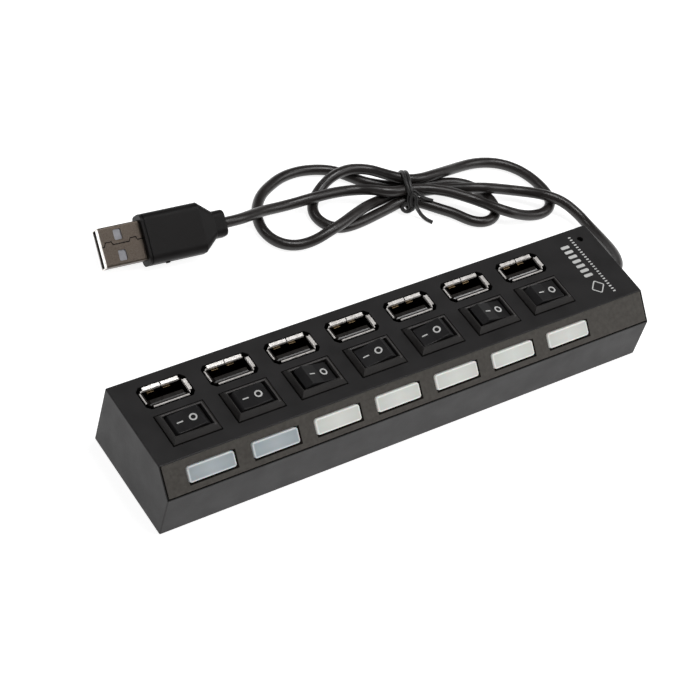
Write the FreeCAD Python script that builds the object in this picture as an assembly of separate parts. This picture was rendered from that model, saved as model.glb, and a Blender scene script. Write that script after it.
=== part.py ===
import FreeCAD, Part
import math
import os
from FreeCAD import Vector, Placement, Rotation

os.makedirs("parts", exist_ok=True)

# A seven-port USB hub with one rocker switch and one light window per port. Millimetres.
# Origin at the bottom centre of the hub, +X along its length to the cord end, +Y to the back, +Z up.

# --- case ---------------------------------------------------------------------------------
CASE_LENGTH = 168.0
CASE_WIDTH = 36.0
CASE_TOP = 22.0            # top face above the table
FRONT_WALL_TOP = 15.0      # the 45 degree bevel starts here
CASE_BOTTOM = 0.5          # the feet lift the case by this much
SIDE_WALL = 2.0
TOP_WALL = 2.2
BEVEL_WALL = 2.4           # measured square to the bevel, strip included
EDGE_ROUND = 0.4

STRIP_THICKNESS = 1.2
STRIP_END_LIP = 0.25       # case material left outside each end of the strip
STRIP_END_GAP = 0.35
STRIP_LOW_GAP = 0.3
STRIP_MARGIN = 0.2         # from the bevel's edges to the recess

BASE_THICKNESS = 1.8
BASE_GAP = 0.1
FOOT_RADIUS = 4.0
FOOT_HEIGHT = 1.3
FOOT_PLACES = [(x, y) for x in (-76.0, 76.0) for y in (-10.5, 10.5)]

# --- columns: one port, one switch and one window each -------------------------------------
COLUMNS = 7
PITCH = 20.5
FIRST_COLUMN = -69.2

# --- rocker switches ------------------------------------------------------------------------
SWITCH_Y = -1.33
SWITCH_SHIFT = -0.3        # bodies and rockers sit this far off the column in X
BEZEL_LENGTH = 15.0
BEZEL_WIDTH = 10.5
BEZEL_HEIGHT = 1.75
BEZEL_RIDGE = 0.4          # flat top of the frame round the mouth
BEZEL_RIDGE_ROUND = 0.25
MOUTH_SIZE = (12.0, 7.3)
COLLAR_BOTTOM = 20.2       # the bezel's collar stands in the opening from here up
SWITCH_GAP = 0.35          # dark gap between collar and case
SWITCH_BODY_LENGTH = 13.7
SWITCH_BODY_WIDTH = 9.1
SWITCH_DEPTH = 10.5
WELL_LENGTH = 12.9
WELL_WIDTH = 7.3
WELL_DEPTH = 4.7
WELL_LIP = 0.5             # height above the top face where the well narrows to its mouth
PIVOT_DROP = 2.5           # rocker axis below the top face
ROCKER_WIDTH = 6.7
TRUNNION_RADIUS = 0.9
TRUNNION_CLEARANCE = 0.05
TRUNNION_LENGTH = 0.65
SWITCH_TILTS = (-6.0, -2.5, 13.0, -13.0, -13.0, 13.0, 7.0)   # degrees, left end up is positive
TERMINAL_SPACING = 7.0
TERMINAL_SIZE = (2.0, 0.8)

# --- USB sockets ----------------------------------------------------------------------------
PORT_Y = 10.6
PORT_SHIFT = -0.15         # sockets sit this far off the column in X
PORT_OUTER = (13.2, 5.8)
PORT_WALL = 0.3
PORT_TOP = 21.75
LIP_REACH = 0.7
LIP_RISE = 0.25
SEAM_WIDTH = 0.35
TONGUE_SIZE = (11.1, 1.84)
TONGUE_Y = -0.98
TONGUE_TOP = 21.0
CONTACT_X = (-3.5, -1.0, 1.0, 3.5)
PORT_OPENING = (15.5, 8.0)
PORT_CORNER = 1.2          # chamfer of the opening's corners
SPRING_X = (-3.2, 1.9)     # spring fingers on the shell's back wall

# --- light windows --------------------------------------------------------------------------
WINDOW_SIZE = (14.7, 4.45)
WINDOW_GAP = 0.25          # groove round the lens in the strip
WINDOW_CENTRE = 5.0        # up the bevel from its lower edge
WINDOW_PROUD = 0.5
WINDOW_SHIFT = 0.1
WINDOW_FLANGE = (15.8, 5.8, 0.7)

# --- circuit board --------------------------------------------------------------------------
BOARD_BOTTOM = 6.4
BOARD_TOP = 8.0
BOARD_X = (-79.5, 80.5)
BOARD_Y = (-15.6, 15.6)
BOSS_RADIUS = 2.4
BOSS_RIB = 1.2
BOSS_PLACES = [(x, y) for x in (-59.1, 2.4, 68.0) for y in (-8.6, 10.6)]
SCREW_RADIUS = 1.25
SCREW_HEAD_RADIUS = 2.3
POWER_LIGHT = (78.7, 13.4)
POWER_LIGHT_RADIUS = 0.9
POWER_PANEL_X = 76.0       # the top's last piece, which holds the pilot light, starts here

# --- cord -----------------------------------------------------------------------------------
CORD_RADIUS = 1.7
BUSHING_NECK_RADIUS = 3.1
BUSHING_FLANGES = (3.9, 3.6)     # radii inside and outside the end wall
BUSHING_SLEEVE = (2.8, 2.2, 5.0)  # radius at the flange, radius at the tip, reach outside the wall
CORD_EXIT = (84.0, 5.0, 10.0)
LEAD_ROUTE = [
    CORD_EXIT,
    (89.8, 5.0, 10.0),
    (94.9, 7.9, 9.4),
    (98.3, 13.6, 7.6),
    (100.7, 21.2, 5.0),
    (102.0, 29.2, 3.0),
    (101.5, 37.2, 3.2),
    (97.2, 43.2, 4.6),
]
HANK_OUTLINE = [
    (-0.4, 66.5), (2.6, 76.0), (11.5, 84.2), (25.5, 86.8), (38.5, 82.0), (48.5, 72.6), (56.0, 69.4),
    (66.0, 68.6), (80.0, 69.0), (92.5, 64.6), (98.8, 53.0), (101.2, 42.4), (92.5, 38.6), (82.0, 40.4),
    (74.0, 43.4), (65.5, 46.8), (58.5, 54.6), (52.2, 60.0), (40.0, 58.0), (25.0, 56.2), (8.0, 56.2),
]
HANK_HEIGHT = 7.0
PLUG_LEAD_ROUTE = [
    (-11.99, 70.47, 7.66),
    (-7.0, 69.9, 7.8),
    (-1.6, 70.9, 6.8),
    (3.8, 72.2, 5.4),
]

# --- tie round the hank's waist ---------------------------------------------------------------
TIE_CENTRE = (54.2, 64.7)
TIE_YAW = -23.0            # degrees from X
TIE_WIDTH = 2.6
TIE_THICKNESS = 1.3
WAIST_WIDTH = 10.2         # across the bundle, inside the tie
KNOT_PLACE = (52.8, 60.2, 4.6)
KNOT_RADIUS = 1.9
TIE_TAILS = [
    [(52.8, 60.2, 4.6), (54.3, 58.0, 2.6), (54.4, 55.2, 0.9), (55.6, 51.6, 0.8)],
    [(52.8, 60.2, 4.6), (57.2, 60.6, 3.4), (62.2, 58.9, 1.6), (67.0, 56.6, 0.8), (71.4, 51.8, 0.8)],
]
TAIL_RADIUS = 0.7

# --- plug, in its own axes: X from the tip to the cord, Y across, Z up through its upper side ----
PLUG_TIP = (-51.32, 75.71, 6.06)
PLUG_YAW = -7.6
PLUG_PITCH = -2.31
PLUG_ROLL = 33.0
SHELL_SIZE = (12.0, 4.5)
SHELL_VISIBLE = 13.3
SHELL_HIDDEN = 5.6
SHELL_WALL = 0.3
SHELL_HOLE = (2.45, 3.2)
SHELL_HOLE_PLACE = (5.9, 3.15)
SHELL_SEAM = [(-0.1, 0.15), (1.0, 0.15), (1.6, 1.35), (3.4, 1.35), (3.8, 0.4), (8.9, 0.4), (9.4, 1.35),
              (11.1, 1.35), (11.5, 0.45), (19.0, 0.45)]
SEAM_GROOVE = 0.3
INSERT_START = 0.2         # behind the tip
INSERT_THICKNESS = 1.9
PLUG_CONTACT_X = (1.6, 13.0)
GRIP_SIZE = (15.36, 7.9)
GRIP_LENGTH = 18.5
GRIP_ROUND = 2.4
GRIP_GROOVE = (14.0, 14.4, 0.3)   # from, to and depth
NECK_SIZE = (8.1, 6.5)
NECK_ROUND = 2.0
NECK_TAPER = 4.3
NECK_LENGTH = 3.75

UP = Vector(0, 0, 1)
ROOT_HALF = math.sqrt(0.5)


def column_x(column):
    """X of one port column, counted from 0 at the left."""
    return FIRST_COLUMN + column * PITCH


def export(name, shape):
    """Write one node and say how many solids it holds."""
    solids = shape.Solids
    body = solids[0] if len(solids) == 1 else Part.makeCompound(solids)
    body.exportStep("parts/%s.step" % name)
    box = body.BoundBox
    print("%-22s %2d solids %9.1f mm3  z %.2f..%.2f" % (name, len(solids), body.Volume, box.ZMin, box.ZMax))


def join(shapes):
    """One shape from several that overlap or touch."""
    first = shapes[0]
    return first.multiFuse(shapes[1:]).removeSplitter() if len(shapes) > 1 else first


def block(x_range, y_range, z_range):
    """A box given by its three ranges."""
    size = [high - low for low, high in (x_range, y_range, z_range)]
    return Part.makeBox(*size, Vector(x_range[0], y_range[0], z_range[0]))


def centred_block(length, width, z_range, centre=(0.0, 0.0)):
    """A box centred in plan on a point."""
    x, y = centre
    return block((x - length / 2, x + length / 2), (y - width / 2, y + width / 2), z_range)


def post(radius, z_range, centre):
    """An upright cylinder."""
    return Part.makeCylinder(radius, z_range[1] - z_range[0], Vector(centre[0], centre[1], z_range[0]), UP)


def rounded_block(length, width, z_range, corner, centre=(0.0, 0.0)):
    """A box with its four upright edges rounded."""
    solid = centred_block(length, width, z_range, centre)
    upright = [edge for edge in solid.Edges if abs(edge.tangentAt(edge.FirstParameter).z) > 0.99]
    return solid.makeFillet(corner, upright)


def prism_x(outline, x_range):
    """An outline in Y and Z, extruded along X."""
    points = [Vector(x_range[0], y, z) for y, z in outline]
    face = Part.Face(Part.makePolygon(points + points[:1]))
    return face.extrude(Vector(x_range[1] - x_range[0], 0, 0))


def prism_y(outline, y_range):
    """An outline in X and Z, extruded along Y."""
    points = [Vector(x, y_range[0], z) for x, z in outline]
    face = Part.Face(Part.makePolygon(points + points[:1]))
    return face.extrude(Vector(0, y_range[1] - y_range[0], 0))


def bevel_placement(x=0.0):
    """Local Y runs up the bevel from its lower edge, local Z stands out of it."""
    return Placement(Vector(x, -CASE_WIDTH / 2, FRONT_WALL_TOP), Rotation(Vector(1, 0, 0), 45))


def rounded_path(points):
    """Straight runs joined by the largest even arcs, with the arcs' radii and the length."""
    corners = [Vector(*p) for p in points]
    edges, radii, start, length = [], [], corners[0], 0.0
    for before, corner, after in zip(corners, corners[1:], corners[2:]):
        back, ahead = before - corner, after - corner
        trim = 0.45 * min(back.Length, ahead.Length)
        half_turn = (math.pi - back.getAngle(ahead)) / 2
        back.normalize()
        ahead.normalize()
        first, last = corner + back * trim, corner + ahead * trim
        radius = trim / math.tan(half_turn)
        to_middle = (back + ahead).normalize()
        middle = corner + to_middle * (radius / math.cos(half_turn) - radius)
        edges += [Part.LineSegment(start, first).toShape(), Part.Arc(first, middle, last).toShape()]
        radii.append(radius)
        start = last
    edges.append(Part.LineSegment(start, corners[-1]).toShape())
    return Part.Wire(edges), radii


def tube(points, radius, label):
    """A round solid along a route, with its volume checked against section times length."""
    path, radii = rounded_path(points)
    direction = Vector(*points[1]) - Vector(*points[0])
    ring = Part.Wire(Part.makeCircle(radius, Vector(*points[0]), direction))
    solid = path.makePipeShell([ring], True, False)
    expected = math.pi * radius ** 2 * path.Length
    print("%s: length %.1f, radii %s, volume ratio %.4f" % (
        label, path.Length, " ".join("%.1f" % r for r in radii), solid.Volume / expected))
    return solid


# --- case parts -------------------------------------------------------------------------------

INNER_TOP = CASE_TOP - TOP_WALL
INNER_X = CASE_LENGTH / 2 - SIDE_WALL
INNER_Y = CASE_WIDTH / 2 - SIDE_WALL
BEVEL_OFFSET = FRONT_WALL_TOP + CASE_WIDTH / 2 - BEVEL_WALL / ROOT_HALF   # inner bevel: z = y + this


def upper_case():
    """The moulded cover's frame: bevel, four walls and the rim that the top's bars and rails fill."""
    half_l, half_w, drop = CASE_LENGTH / 2, CASE_WIDTH / 2, CASE_TOP - FRONT_WALL_TOP
    outline = [(-half_w, CASE_BOTTOM), (-half_w, FRONT_WALL_TOP), (-half_w + drop, CASE_TOP),
               (half_w, CASE_TOP), (half_w, CASE_BOTTOM)]
    outer = prism_x(outline, (-half_l, half_l))
    outer = outer.makeFillet(EDGE_ROUND, outer.Edges)

    top_front = INNER_TOP - BEVEL_OFFSET
    hollow = [(-INNER_Y, -1.0), (-INNER_Y, BEVEL_OFFSET - INNER_Y), (top_front, INNER_TOP),
              (top_front, CASE_TOP + 1), (INNER_Y, CASE_TOP + 1), (INNER_Y, -1.0)]
    cavity = prism_x(hollow, (-INNER_X, INNER_X))

    bosses, pilots = [], []
    for x, y in BOSS_PLACES:
        wall = math.copysign(INNER_Y + 0.5, y)
        rib = block((x - BOSS_RIB / 2, x + BOSS_RIB / 2), tuple(sorted((y, wall))), (BOARD_TOP + 1, 14.0))
        boss = join([post(BOSS_RADIUS, (BOARD_TOP, INNER_TOP), (x, y)), rib])
        bosses.append(boss)
        pilots.append(post(SCREW_RADIUS, (BOARD_TOP - 1, 15.0), (x, y)))

    recess_x = half_l - STRIP_END_LIP
    bevel_length = drop / ROOT_HALF
    recess_y = (STRIP_MARGIN, bevel_length - STRIP_MARGIN)
    recess = block((-recess_x, recess_x), recess_y, (-STRIP_THICKNESS, 3.0))
    recess.Placement = bevel_placement()

    exit_start = Vector(half_l - 5, *CORD_EXIT[1:])
    cuts = pilots + [recess, Part.makeCylinder(BUSHING_NECK_RADIUS, 10.0, exit_start, Vector(1, 0, 0))]
    length, width = WINDOW_SIZE
    for column in range(COLUMNS):
        window = rounded_block(length + 0.1, width + 0.1, (-4.0, 2.0), 0.8, (0.0, WINDOW_CENTRE))
        window.Placement = bevel_placement(column_x(column) + WINDOW_SHIFT)
        cuts.append(window)
    return join([outer.cut(cavity)] + bosses).cut(Part.makeCompound(cuts))


def row_gaps(shift, opening):
    """X ranges of the top between one row's openings, from the left wall to the right wall."""
    middles = [column_x(column) + shift for column in range(COLUMNS)]
    starts = [-INNER_X] + [x + opening / 2 for x in middles]
    ends = [x - opening / 2 for x in middles] + [INNER_X]
    return list(zip(starts, ends))


SWITCH_OPENING = (BEZEL_LENGTH + 2 * SWITCH_GAP, BEZEL_WIDTH + 2 * SWITCH_GAP)
SWITCH_ROW = (SWITCH_Y - SWITCH_OPENING[1] / 2, SWITCH_Y + SWITCH_OPENING[1] / 2)
PORT_ROW = (PORT_Y - PORT_OPENING[1] / 2, PORT_Y + PORT_OPENING[1] / 2)
TOP_RANGE = (INNER_TOP, CASE_TOP)


def top_rails():
    """The top's three long rails, and the pieces that chamfer the corners of the port openings."""
    edges = [(INNER_TOP - BEVEL_OFFSET, SWITCH_ROW[0]), (SWITCH_ROW[1], PORT_ROW[0]), (PORT_ROW[1], INNER_Y)]
    pieces = [block((-INNER_X, INNER_X), edge, TOP_RANGE) for edge in edges]
    front, back = PORT_ROW
    for left, right in row_gaps(PORT_SHIFT, PORT_OPENING[0]):
        wide_left = max(left - PORT_CORNER, -INNER_X)
        wide_right = right + PORT_CORNER
        if right == INNER_X:
            right = wide_right = POWER_PANEL_X
        for outer, inner in ((front, front + PORT_CORNER), (back, back - PORT_CORNER)):
            corners = [(wide_left, outer), (wide_right, outer), (right, inner), (left, inner)]
            points = [Vector(x, y, INNER_TOP) for x, y in corners]
            face = Part.Face(Part.makePolygon(points + points[:1]))
            pieces.append(face.extrude(Vector(0, 0, TOP_WALL)))
    return Part.makeCompound(pieces)


def top_bars():
    """The top's short bars between the switches and between the ports, and the pilot light's panel."""
    pieces = [block(gap, SWITCH_ROW, TOP_RANGE) for gap in row_gaps(0.0, SWITCH_OPENING[0])]
    port_bars = row_gaps(PORT_SHIFT, PORT_OPENING[0])
    port_bars[-1] = (port_bars[-1][0], POWER_PANEL_X)
    inner_row = (PORT_ROW[0] + PORT_CORNER, PORT_ROW[1] - PORT_CORNER)
    pieces += [block(gap, inner_row, TOP_RANGE) for gap in port_bars]
    panel = block((POWER_PANEL_X, INNER_X), PORT_ROW, TOP_RANGE)
    pieces.append(panel.cut(post(POWER_LIGHT_RADIUS + 0.1, (10.0, 30.0), POWER_LIGHT)))
    return Part.makeCompound(pieces)


def bevel_strip():
    """The smoky trim strip let into the bevel, pierced by the seven windows."""
    half = CASE_LENGTH / 2 - STRIP_END_LIP - STRIP_END_GAP
    top = (CASE_TOP - FRONT_WALL_TOP) / ROOT_HALF - STRIP_MARGIN - 0.05
    strip = block((-half, half), (STRIP_MARGIN + STRIP_LOW_GAP, top), (-STRIP_THICKNESS, 0.0))
    rim = [edge for edge in strip.Edges if edge.BoundBox.ZMin > -0.01]
    strip = strip.makeFillet(0.15, rim)
    holes = [rounded_block(WINDOW_SIZE[0] + 2 * WINDOW_GAP, WINDOW_SIZE[1] + 2 * WINDOW_GAP, (-4.0, 2.0), 0.9,
                           (column_x(column) + WINDOW_SHIFT, WINDOW_CENTRE)) for column in range(COLUMNS)]
    strip = strip.cut(Part.makeCompound(holes))
    strip.Placement = bevel_placement()
    return strip


def light_window(column):
    """A clear light pipe: a rounded head standing out of the strip and a flange behind the case."""
    head = rounded_block(*WINDOW_SIZE, (-BEVEL_WALL, WINDOW_PROUD), 0.75, (0.0, WINDOW_CENTRE))
    rim = [edge for edge in head.Edges if edge.BoundBox.ZMin > WINDOW_PROUD - 0.01]
    head = head.makeFillet(0.3, rim)
    length, width, thickness = WINDOW_FLANGE
    flange = centred_block(length, width, (-BEVEL_WALL - thickness, -BEVEL_WALL), (0.0, WINDOW_CENTRE))
    window = join([head, flange])
    window.Placement = bevel_placement(column_x(column) + WINDOW_SHIFT)
    return window


def base_plate():
    """The bottom cover, with pillars that clamp the board, screw pockets and foot recesses."""
    half_l = CASE_LENGTH / 2 - SIDE_WALL - BASE_GAP
    half_w = CASE_WIDTH / 2 - SIDE_WALL - BASE_GAP
    top = CASE_BOTTOM + BASE_THICKNESS
    plate = block((-half_l, half_l), (-half_w, half_w), (CASE_BOTTOM, top))
    pillars = [post(3.2, (top - 0.5, BOARD_BOTTOM), place) for place in BOSS_PLACES]
    pockets = [post(SCREW_HEAD_RADIUS + 0.2, (-1.0, 4.2), place) for place in BOSS_PLACES]
    holes = [post(SCREW_RADIUS + 0.2, (4.0, BOARD_TOP), place) for place in BOSS_PLACES]
    recesses = [post(FOOT_RADIUS + 0.1, (-1.0, FOOT_HEIGHT), place) for place in FOOT_PLACES]
    return join([plate] + pillars).cut(Part.makeCompound(pockets + holes + recesses))


def rubber_feet():
    """Four round feet in the base plate's recesses."""
    feet = [post(FOOT_RADIUS, (0.0, FOOT_HEIGHT), place) for place in FOOT_PLACES]
    rounded = [foot.makeFillet(0.25, [e for e in foot.Edges if e.BoundBox.ZMax < 0.01]) for foot in feet]
    return Part.makeCompound(rounded)


def case_screws():
    """Six self-tapping screws with cross recesses, up through the base and board into the bosses."""
    screws = []
    for x, y in BOSS_PLACES:
        head = post(SCREW_HEAD_RADIUS, (2.4, 4.2), (x, y))
        head = head.makeFillet(0.5, [e for e in head.Edges if e.BoundBox.ZMax < 2.41])
        shank = post(SCREW_RADIUS, (4.2, 14.0), (x, y))
        cross = [centred_block(2.4, 0.6, (2.0, 3.2), (x, y)), centred_block(0.6, 2.4, (2.0, 3.2), (x, y))]
        screws.append(join([head, shank]).cut(Part.makeCompound(cross)))
    return Part.makeCompound(screws)


# --- switches -----------------------------------------------------------------------------------

def frustum(z_bottom, bottom, z_top, top, middles, y):
    """A solid between two rectangles at two heights, each with its own middle in X."""
    rings = []
    for z, (length, width), x in ((z_bottom, bottom, middles[0]), (z_top, top, middles[1])):
        corners = [Vector(x + sx * length / 2, y + sy * width / 2, z)
                   for sx, sy in ((-1, -1), (1, -1), (1, 1), (-1, 1))]
        rings.append(Part.makePolygon(corners + corners[:1]))
    return Part.makeLoft(rings, True, True)


def switch_housing(column):
    """Bezel, collar and body of one rocker switch, with the well and the two trunnion sockets."""
    outer, x = column_x(column), column_x(column) + SWITCH_SHIFT
    centre = (x, SWITCH_Y)
    ridge = [size + 2 * BEZEL_RIDGE for size in MOUTH_SIZE]
    ridge_z = CASE_TOP + BEZEL_HEIGHT
    collar = centred_block(BEZEL_LENGTH, BEZEL_WIDTH, (COLLAR_BOTTOM, CASE_TOP + 0.2), (outer, SWITCH_Y))
    bezel = frustum(CASE_TOP + 0.2, (BEZEL_LENGTH, BEZEL_WIDTH), ridge_z, ridge, (outer, x), SWITCH_Y)
    opening = centred_block(*MOUTH_SIZE, (CASE_TOP - 1, CASE_TOP + 3), centre)
    frame = join([collar, bezel]).cut(opening)
    top_boxes = [(e, e.BoundBox) for e in frame.Edges if e.BoundBox.ZMin > ridge_z - 0.01]
    inner_edges = [e for e, box in top_boxes
                   if box.XLength < MOUTH_SIZE[0] + 0.01 and box.YLength < MOUTH_SIZE[1] + 0.01]
    frame = frame.makeFillet(BEZEL_RIDGE_ROUND, inner_edges)
    body_z = (CASE_TOP - SWITCH_DEPTH, CASE_TOP - 0.5)
    body = centred_block(SWITCH_BODY_LENGTH, SWITCH_BODY_WIDTH, body_z, centre).cut(opening)
    well = centred_block(WELL_LENGTH, WELL_WIDTH, (CASE_TOP - WELL_DEPTH, CASE_TOP + WELL_LIP), centre)
    reach = WELL_WIDTH / 2 + TRUNNION_LENGTH - 0.25
    sockets = Part.makeCylinder(TRUNNION_RADIUS + TRUNNION_CLEARANCE, 2 * reach,
                                Vector(x, SWITCH_Y - reach, CASE_TOP - PIVOT_DROP), Vector(0, 1, 0))
    return join([frame, body]).cut(well).cut(sockets)


def rocker(column):
    """The paddle and its trunnions, turned to where it stands at rest."""
    x, z = column_x(column) + SWITCH_SHIFT, CASE_TOP
    half = [(0.0, 1.85), (4.3, 2.15), (5.85, 0.28), (5.6, -0.9), (1.7, -3.9)]
    outline = [(x + dx, z + dz) for dx, dz in half] + [(x - dx, z + dz) for dx, dz in half[:0:-1]]
    paddle = prism_y(outline, (SWITCH_Y - ROCKER_WIDTH / 2, SWITCH_Y + ROCKER_WIDTH / 2))
    paddle = paddle.makeFillet(0.25, [e for e in paddle.Edges if e.BoundBox.ZMax > z + 1.0])
    reach = ROCKER_WIDTH / 2 + TRUNNION_LENGTH
    pin_start = Vector(x, SWITCH_Y - reach, z - PIVOT_DROP)
    pin = Part.makeCylinder(TRUNNION_RADIUS, 2 * reach, pin_start, Vector(0, 1, 0))
    whole = join([paddle, pin])
    whole.rotate(Vector(x, SWITCH_Y, z - PIVOT_DROP), Vector(0, 1, 0), SWITCH_TILTS[column])
    return whole


def switch_terminals():
    """Two flat pins under each switch, through the board."""
    pins = []
    for column in range(COLUMNS):
        for side in (-1, 1):
            centre = (column_x(column) + side * TERMINAL_SPACING / 2, SWITCH_Y)
            pins.append(centred_block(*TERMINAL_SIZE, (BOARD_BOTTOM - 1.0, CASE_TOP - SWITCH_DEPTH), centre))
    return Part.makeCompound(pins)


# --- USB sockets ----------------------------------------------------------------------------------

def usb_shell(column):
    """The folded metal shell of one upright socket, with its flared lips, seam and board legs."""
    x, y = column_x(column) + PORT_SHIFT, PORT_Y
    length, width = PORT_OUTER
    inner_l, inner_w = length - 2 * PORT_WALL, width - 2 * PORT_WALL
    bore = rounded_block(inner_l, inner_w, (BOARD_TOP - 1, CASE_TOP + 2), 0.5, (x, y))
    sleeve = rounded_block(length, width, (BOARD_TOP, PORT_TOP), 0.8, (x, y)).cut(bore)
    lip = [(0.0, 0.0), (LIP_REACH, LIP_RISE), (LIP_REACH - 0.1, LIP_RISE + 0.25),
           (-PORT_WALL, 0.2), (-PORT_WALL, 0.0)]
    lips = []
    for side in (-1, 1):
        run = (x - length / 2 + 1.0, x + length / 2 - 1.0)
        lips.append(prism_x([(y + side * (width / 2 + a), PORT_TOP + b) for a, b in lip], run))
        run = (y - width / 2 + 1.0, y + width / 2 - 1.0)
        lips.append(prism_y([(x + side * (length / 2 + a), PORT_TOP + b) for a, b in lip], run))
    leg_z = (BOARD_BOTTOM - 0.9, BOARD_TOP + 0.5)
    leg_reach = (length - PORT_WALL) / 2
    legs = [centred_block(PORT_WALL, 1.2, leg_z, (x + side * leg_reach, y)) for side in (-1, 1)]
    back = y + inner_w / 2
    springs = []
    for dx in SPRING_X:
        finger = block((x + dx - 1.1, x + dx + 1.1), (back - 0.35, back - 0.15), (15.0, 20.7))
        foot = block((x + dx - 1.1, x + dx + 1.1), (back - 0.35, back + 0.1), (15.0, 15.6))
        springs.append(join([finger, foot]))
    seam = centred_block(SEAM_WIDTH, 4.0, (BOARD_TOP - 1, CASE_TOP + 2), (x, y + width / 2))
    return join([sleeve] + lips + legs + springs).cut(seam)


def usb_tongue(column):
    """The moulded insert of one socket: a foot that fills the shell and the contact tongue."""
    x, y = column_x(column) + PORT_SHIFT, PORT_Y
    inner_l, inner_w = PORT_OUTER[0] - 2 * PORT_WALL, PORT_OUTER[1] - 2 * PORT_WALL
    foot = rounded_block(inner_l, inner_w, (BOARD_TOP, 12.0), 0.5, (x, y))
    tongue = centred_block(*TONGUE_SIZE, (11.5, TONGUE_TOP), (x, y + TONGUE_Y))
    tongue = tongue.makeChamfer(0.35, [e for e in tongue.Edges if e.BoundBox.ZMin > TONGUE_TOP - 0.01])
    slots = [block(*contact_ranges(x + dx, y), (BOARD_TOP - 1, 12.5)) for dx in CONTACT_X]
    return join([foot, tongue]).cut(Part.makeCompound(slots))


def contact_ranges(x, y):
    """X and Y ranges of a contact strip on the tongue's back face."""
    face = y + TONGUE_Y + TONGUE_SIZE[1] / 2
    return (x - 0.5, x + 0.5), (face, face + 0.2)


def usb_contacts():
    """Four strips per socket on the tongue, each with a tail through the board."""
    strips = []
    for column in range(COLUMNS):
        for dx in CONTACT_X:
            x_range, y_range = contact_ranges(column_x(column) + PORT_SHIFT + dx, PORT_Y)
            strip = block(x_range, y_range, (BOARD_TOP, TONGUE_TOP - 0.8))
            middle = sum(x_range) / 2
            tail = block((middle - 0.3, middle + 0.3), y_range, (BOARD_BOTTOM - 0.8, BOARD_TOP))
            strips.append(join([strip, tail]))
    return Part.makeCompound(strips)


# --- electronics --------------------------------------------------------------------------------

def circuit_board():
    """The board, with every hole that a leg, tail, terminal or screw needs."""
    board = block(BOARD_X, BOARD_Y, (BOARD_BOTTOM, BOARD_TOP))
    through = (BOARD_BOTTOM - 1, BOARD_TOP + 1)
    holes = [post(SCREW_RADIUS + 0.2, through, place) for place in BOSS_PLACES]
    for column in range(COLUMNS):
        x, port_x = column_x(column), column_x(column) + PORT_SHIFT
        for side in (-1, 1):
            holes.append(centred_block(2.3, 1.1, through, (x + side * TERMINAL_SPACING / 2, SWITCH_Y)))
            leg_x = port_x + side * (PORT_OUTER[0] - PORT_WALL) / 2
            holes.append(centred_block(0.6, 1.6, through, (leg_x, PORT_Y)))
        for dx in CONTACT_X:
            holes.append(post(0.5, through, (port_x + dx, PORT_Y + TONGUE_Y + TONGUE_SIZE[1] / 2 + 0.1)))
    return board.cut(Part.makeCompound(holes))


def chip(centre, length, width, pins):
    """A small-outline package with gull-wing legs on its two long sides."""
    x, y = centre
    parts = [centred_block(length, width, (BOARD_TOP + 0.15, BOARD_TOP + 1.8), centre)]
    for pin in range(pins):
        px = x + (pin - (pins - 1) / 2) * (length / pins)
        for side in (-1, 1):
            root, toe = y + side * width / 2, y + side * (width / 2 + 1.1)
            bend = y + side * (width / 2 + 0.5)
            parts.append(block((px - 0.12, px + 0.12), tuple(sorted((root - side * 0.1, bend))),
                               (BOARD_TOP + 0.7, BOARD_TOP + 0.9)))
            parts.append(block((px - 0.12, px + 0.12), tuple(sorted((bend - side * 0.2, bend))),
                               (BOARD_TOP, BOARD_TOP + 0.9)))
            parts.append(block((px - 0.12, px + 0.12), tuple(sorted((bend - side * 0.2, toe))),
                               (BOARD_TOP, BOARD_TOP + 0.2)))
    return join(parts)


def column_parts(size, height, offset):
    """One small board part per column, at an offset from the column."""
    return Part.makeCompound([
        centred_block(*size, (BOARD_TOP, BOARD_TOP + height), (column_x(column) + offset[0], offset[1]))
        for column in range(COLUMNS)])


def capacitors():
    """Three electrolytic cans at the cord end of the board."""
    cans = []
    for centre in ((60.0, -11.5), (67.0, -1.5), (75.5, -8.0)):
        base = centred_block(6.6, 6.6, (BOARD_TOP, BOARD_TOP + 0.8), centre)
        can = post(3.1, (BOARD_TOP + 0.8, BOARD_TOP + 5.4), centre)
        rim = [e for e in can.Edges if e.BoundBox.ZMin > BOARD_TOP + 5.3]
        cans.append(join([base, can.makeFillet(0.3, rim)]))
    return Part.makeCompound(cans)


def power_led():
    """The pilot light: a domed lens under the hole in the top, on two leads."""
    x, y = POWER_LIGHT
    lens = post(POWER_LIGHT_RADIUS, (15.5, 21.3), POWER_LIGHT)
    lens = lens.makeFillet(0.8, [e for e in lens.Edges if e.BoundBox.ZMin > 21.2])
    collar = post(1.3, (14.6, 15.5), POWER_LIGHT)
    leads = [centred_block(0.4, 0.4, (BOARD_TOP, 14.6), (x + side * 0.6, y)) for side in (-1, 1)]
    return join([lens, collar] + leads)


# --- cord -----------------------------------------------------------------------------------------

def cord_bushing():
    """The strain relief: a grooved neck held by the end wall and a tapered sleeve outside it."""
    y, z = CORD_EXIT[1:]
    wall_in, wall_out = CASE_LENGTH / 2 - SIDE_WALL, CASE_LENGTH / 2
    inner, outer = BUSHING_FLANGES
    sleeve_root, sleeve_tip, reach = BUSHING_SLEEVE
    neck = BUSHING_NECK_RADIUS
    ring = [(wall_in - 1.2, CORD_RADIUS), (wall_in - 1.2, inner), (wall_in, inner),
            (wall_in, neck), (wall_out, neck), (wall_out, outer), (wall_out + 1.0, outer),
            (wall_out + 1.0, sleeve_root), (wall_out + reach, sleeve_tip), (wall_out + reach, CORD_RADIUS)]
    points = [Vector(x, y, z + r) for x, r in ring]
    face = Part.Face(Part.makePolygon(points + points[:1]))
    return face.revolve(Vector(0, y, z), Vector(1, 0, 0), 360)


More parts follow.
